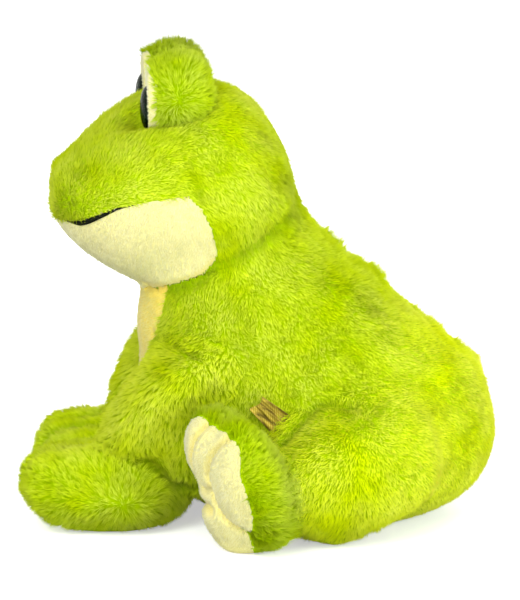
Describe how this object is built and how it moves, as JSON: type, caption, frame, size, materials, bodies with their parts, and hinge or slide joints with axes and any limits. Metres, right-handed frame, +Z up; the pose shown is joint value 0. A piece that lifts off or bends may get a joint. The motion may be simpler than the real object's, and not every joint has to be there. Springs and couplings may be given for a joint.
{
  "type": "plush frog",
  "caption": "Sitting plush frog with shaggy lime pile, cream chin and soles, domed plastic eyes in raised hoods and floppy sewn limbs.",
  "frame": {"origin": "on the floor, under the middle of the sitting toy's bounding box", "axes": "+Z up, the frog looks along -Y, +X is its left side"},
  "size_m": [0.305, 0.2876, 0.283],
  "materials": {
    "lime_plush": "lime green shaggy pile, strands about 8 mm, clumped and brushed back",
    "cream_plush": "cream short velvet pile",
    "yellow_plush": "soft yellow short velvet pile",
    "black_felt": "black stitched line, matt",
    "stuffing": "loose white polyester fibre",
    "pellet_cloth": "plain woven bag of plastic pellets",
    "green_plastic": "moulded lime iris with its stem",
    "black_plastic": "black pupil",
    "clear_plastic": "clear domed lens, high gloss",
    "washer_plastic": "white nylon",
    "gold_ribbon": "plain crinkled gold satin ribbon, no print"
  },
  "bodies": {
    "torso": {"torso_skin_left": "lime_plush", "torso_skin_right": "lime_plush", "belly_panel": "yellow_plush", "base_panel": "lime_plush", "torso_filling": "stuffing", "pellet_bag": "pellet_cloth", "side_tag": "gold_ribbon"},
    "head": {"head_skin_left": "lime_plush", "head_skin_right": "lime_plush", "jaw_panel": "cream_plush", "mouth_line": "black_felt", "head_filling": "stuffing", "eye_hood_left": "lime_plush", "eye_white_left": "cream_plush", "eye_left": "green_plastic", "eye_pupil_left": "black_plastic", "eye_lens_left": "clear_plastic", "eye_washer_left": "washer_plastic", "eye_hood_right": "lime_plush", "eye_white_right": "cream_plush", "eye_right": "green_plastic", "eye_pupil_right": "black_plastic", "eye_lens_right": "clear_plastic", "eye_washer_right": "washer_plastic"},
    "arm_left": {"arm_skin_left": "lime_plush", "arm_filling_left": "stuffing"},
    "leg_left": {"leg_skin_left": "lime_plush", "leg_filling_left": "stuffing"},
    "foot_left": {"foot_skin_left": "lime_plush", "foot_sole_left": "cream_plush", "foot_filling_left": "stuffing"},
    "arm_right": {"arm_skin_right": "lime_plush", "arm_filling_right": "stuffing"},
    "leg_right": {"leg_skin_right": "lime_plush", "leg_filling_right": "stuffing"},
    "foot_right": {"foot_skin_right": "lime_plush", "foot_sole_right": "cream_plush", "foot_filling_right": "stuffing"}
  },
  "joints": [
    {"name": "neck_nod", "type": "hinge", "parent": "torso", "child": "head", "pos_m": [0, -0.00425, 0.117], "axis": [1, 0, 0], "range_deg": [-8, 8], "stiffness_Nm_per_rad": 0.9},
    {"name": "shoulder_lift_left", "type": "hinge", "parent": "torso", "child": "arm_left", "pos_m": [0.062, -0.03525, 0.098], "axis": [-1, 0, 0], "range_deg": [0, 25], "stiffness_Nm_per_rad": 0.3},
    {"name": "hip_lift_left", "type": "hinge", "parent": "torso", "child": "leg_left", "pos_m": [0.08, 0.07775, 0.05], "axis": [-1, 0, 0], "range_deg": [0, 7], "stiffness_Nm_per_rad": 0.4},
    {"name": "ankle_tip_left", "type": "hinge", "parent": "leg_left", "child": "foot_left", "pos_m": [0.10033, 0.01546, 0.037], "axis": [0.891, 0.454, 0], "range_deg": [-2, 10], "stiffness_Nm_per_rad": 0.15},
    {"name": "shoulder_lift_right", "type": "hinge", "parent": "torso", "child": "arm_right", "pos_m": [-0.062, -0.03525, 0.098], "axis": [-1, 0, 0], "range_deg": [0, 25], "stiffness_Nm_per_rad": 0.3},
    {"name": "hip_lift_right", "type": "hinge", "parent": "torso", "child": "leg_right", "pos_m": [-0.08, 0.07775, 0.05], "axis": [-1, 0, 0], "range_deg": [0, 7], "stiffness_Nm_per_rad": 0.4},
    {"name": "ankle_tip_right", "type": "hinge", "parent": "leg_right", "child": "foot_right", "pos_m": [-0.10033, 0.01546, 0.037], "axis": [0.891, -0.454, 0], "range_deg": [-2, 10], "stiffness_Nm_per_rad": 0.15}
  ]
}
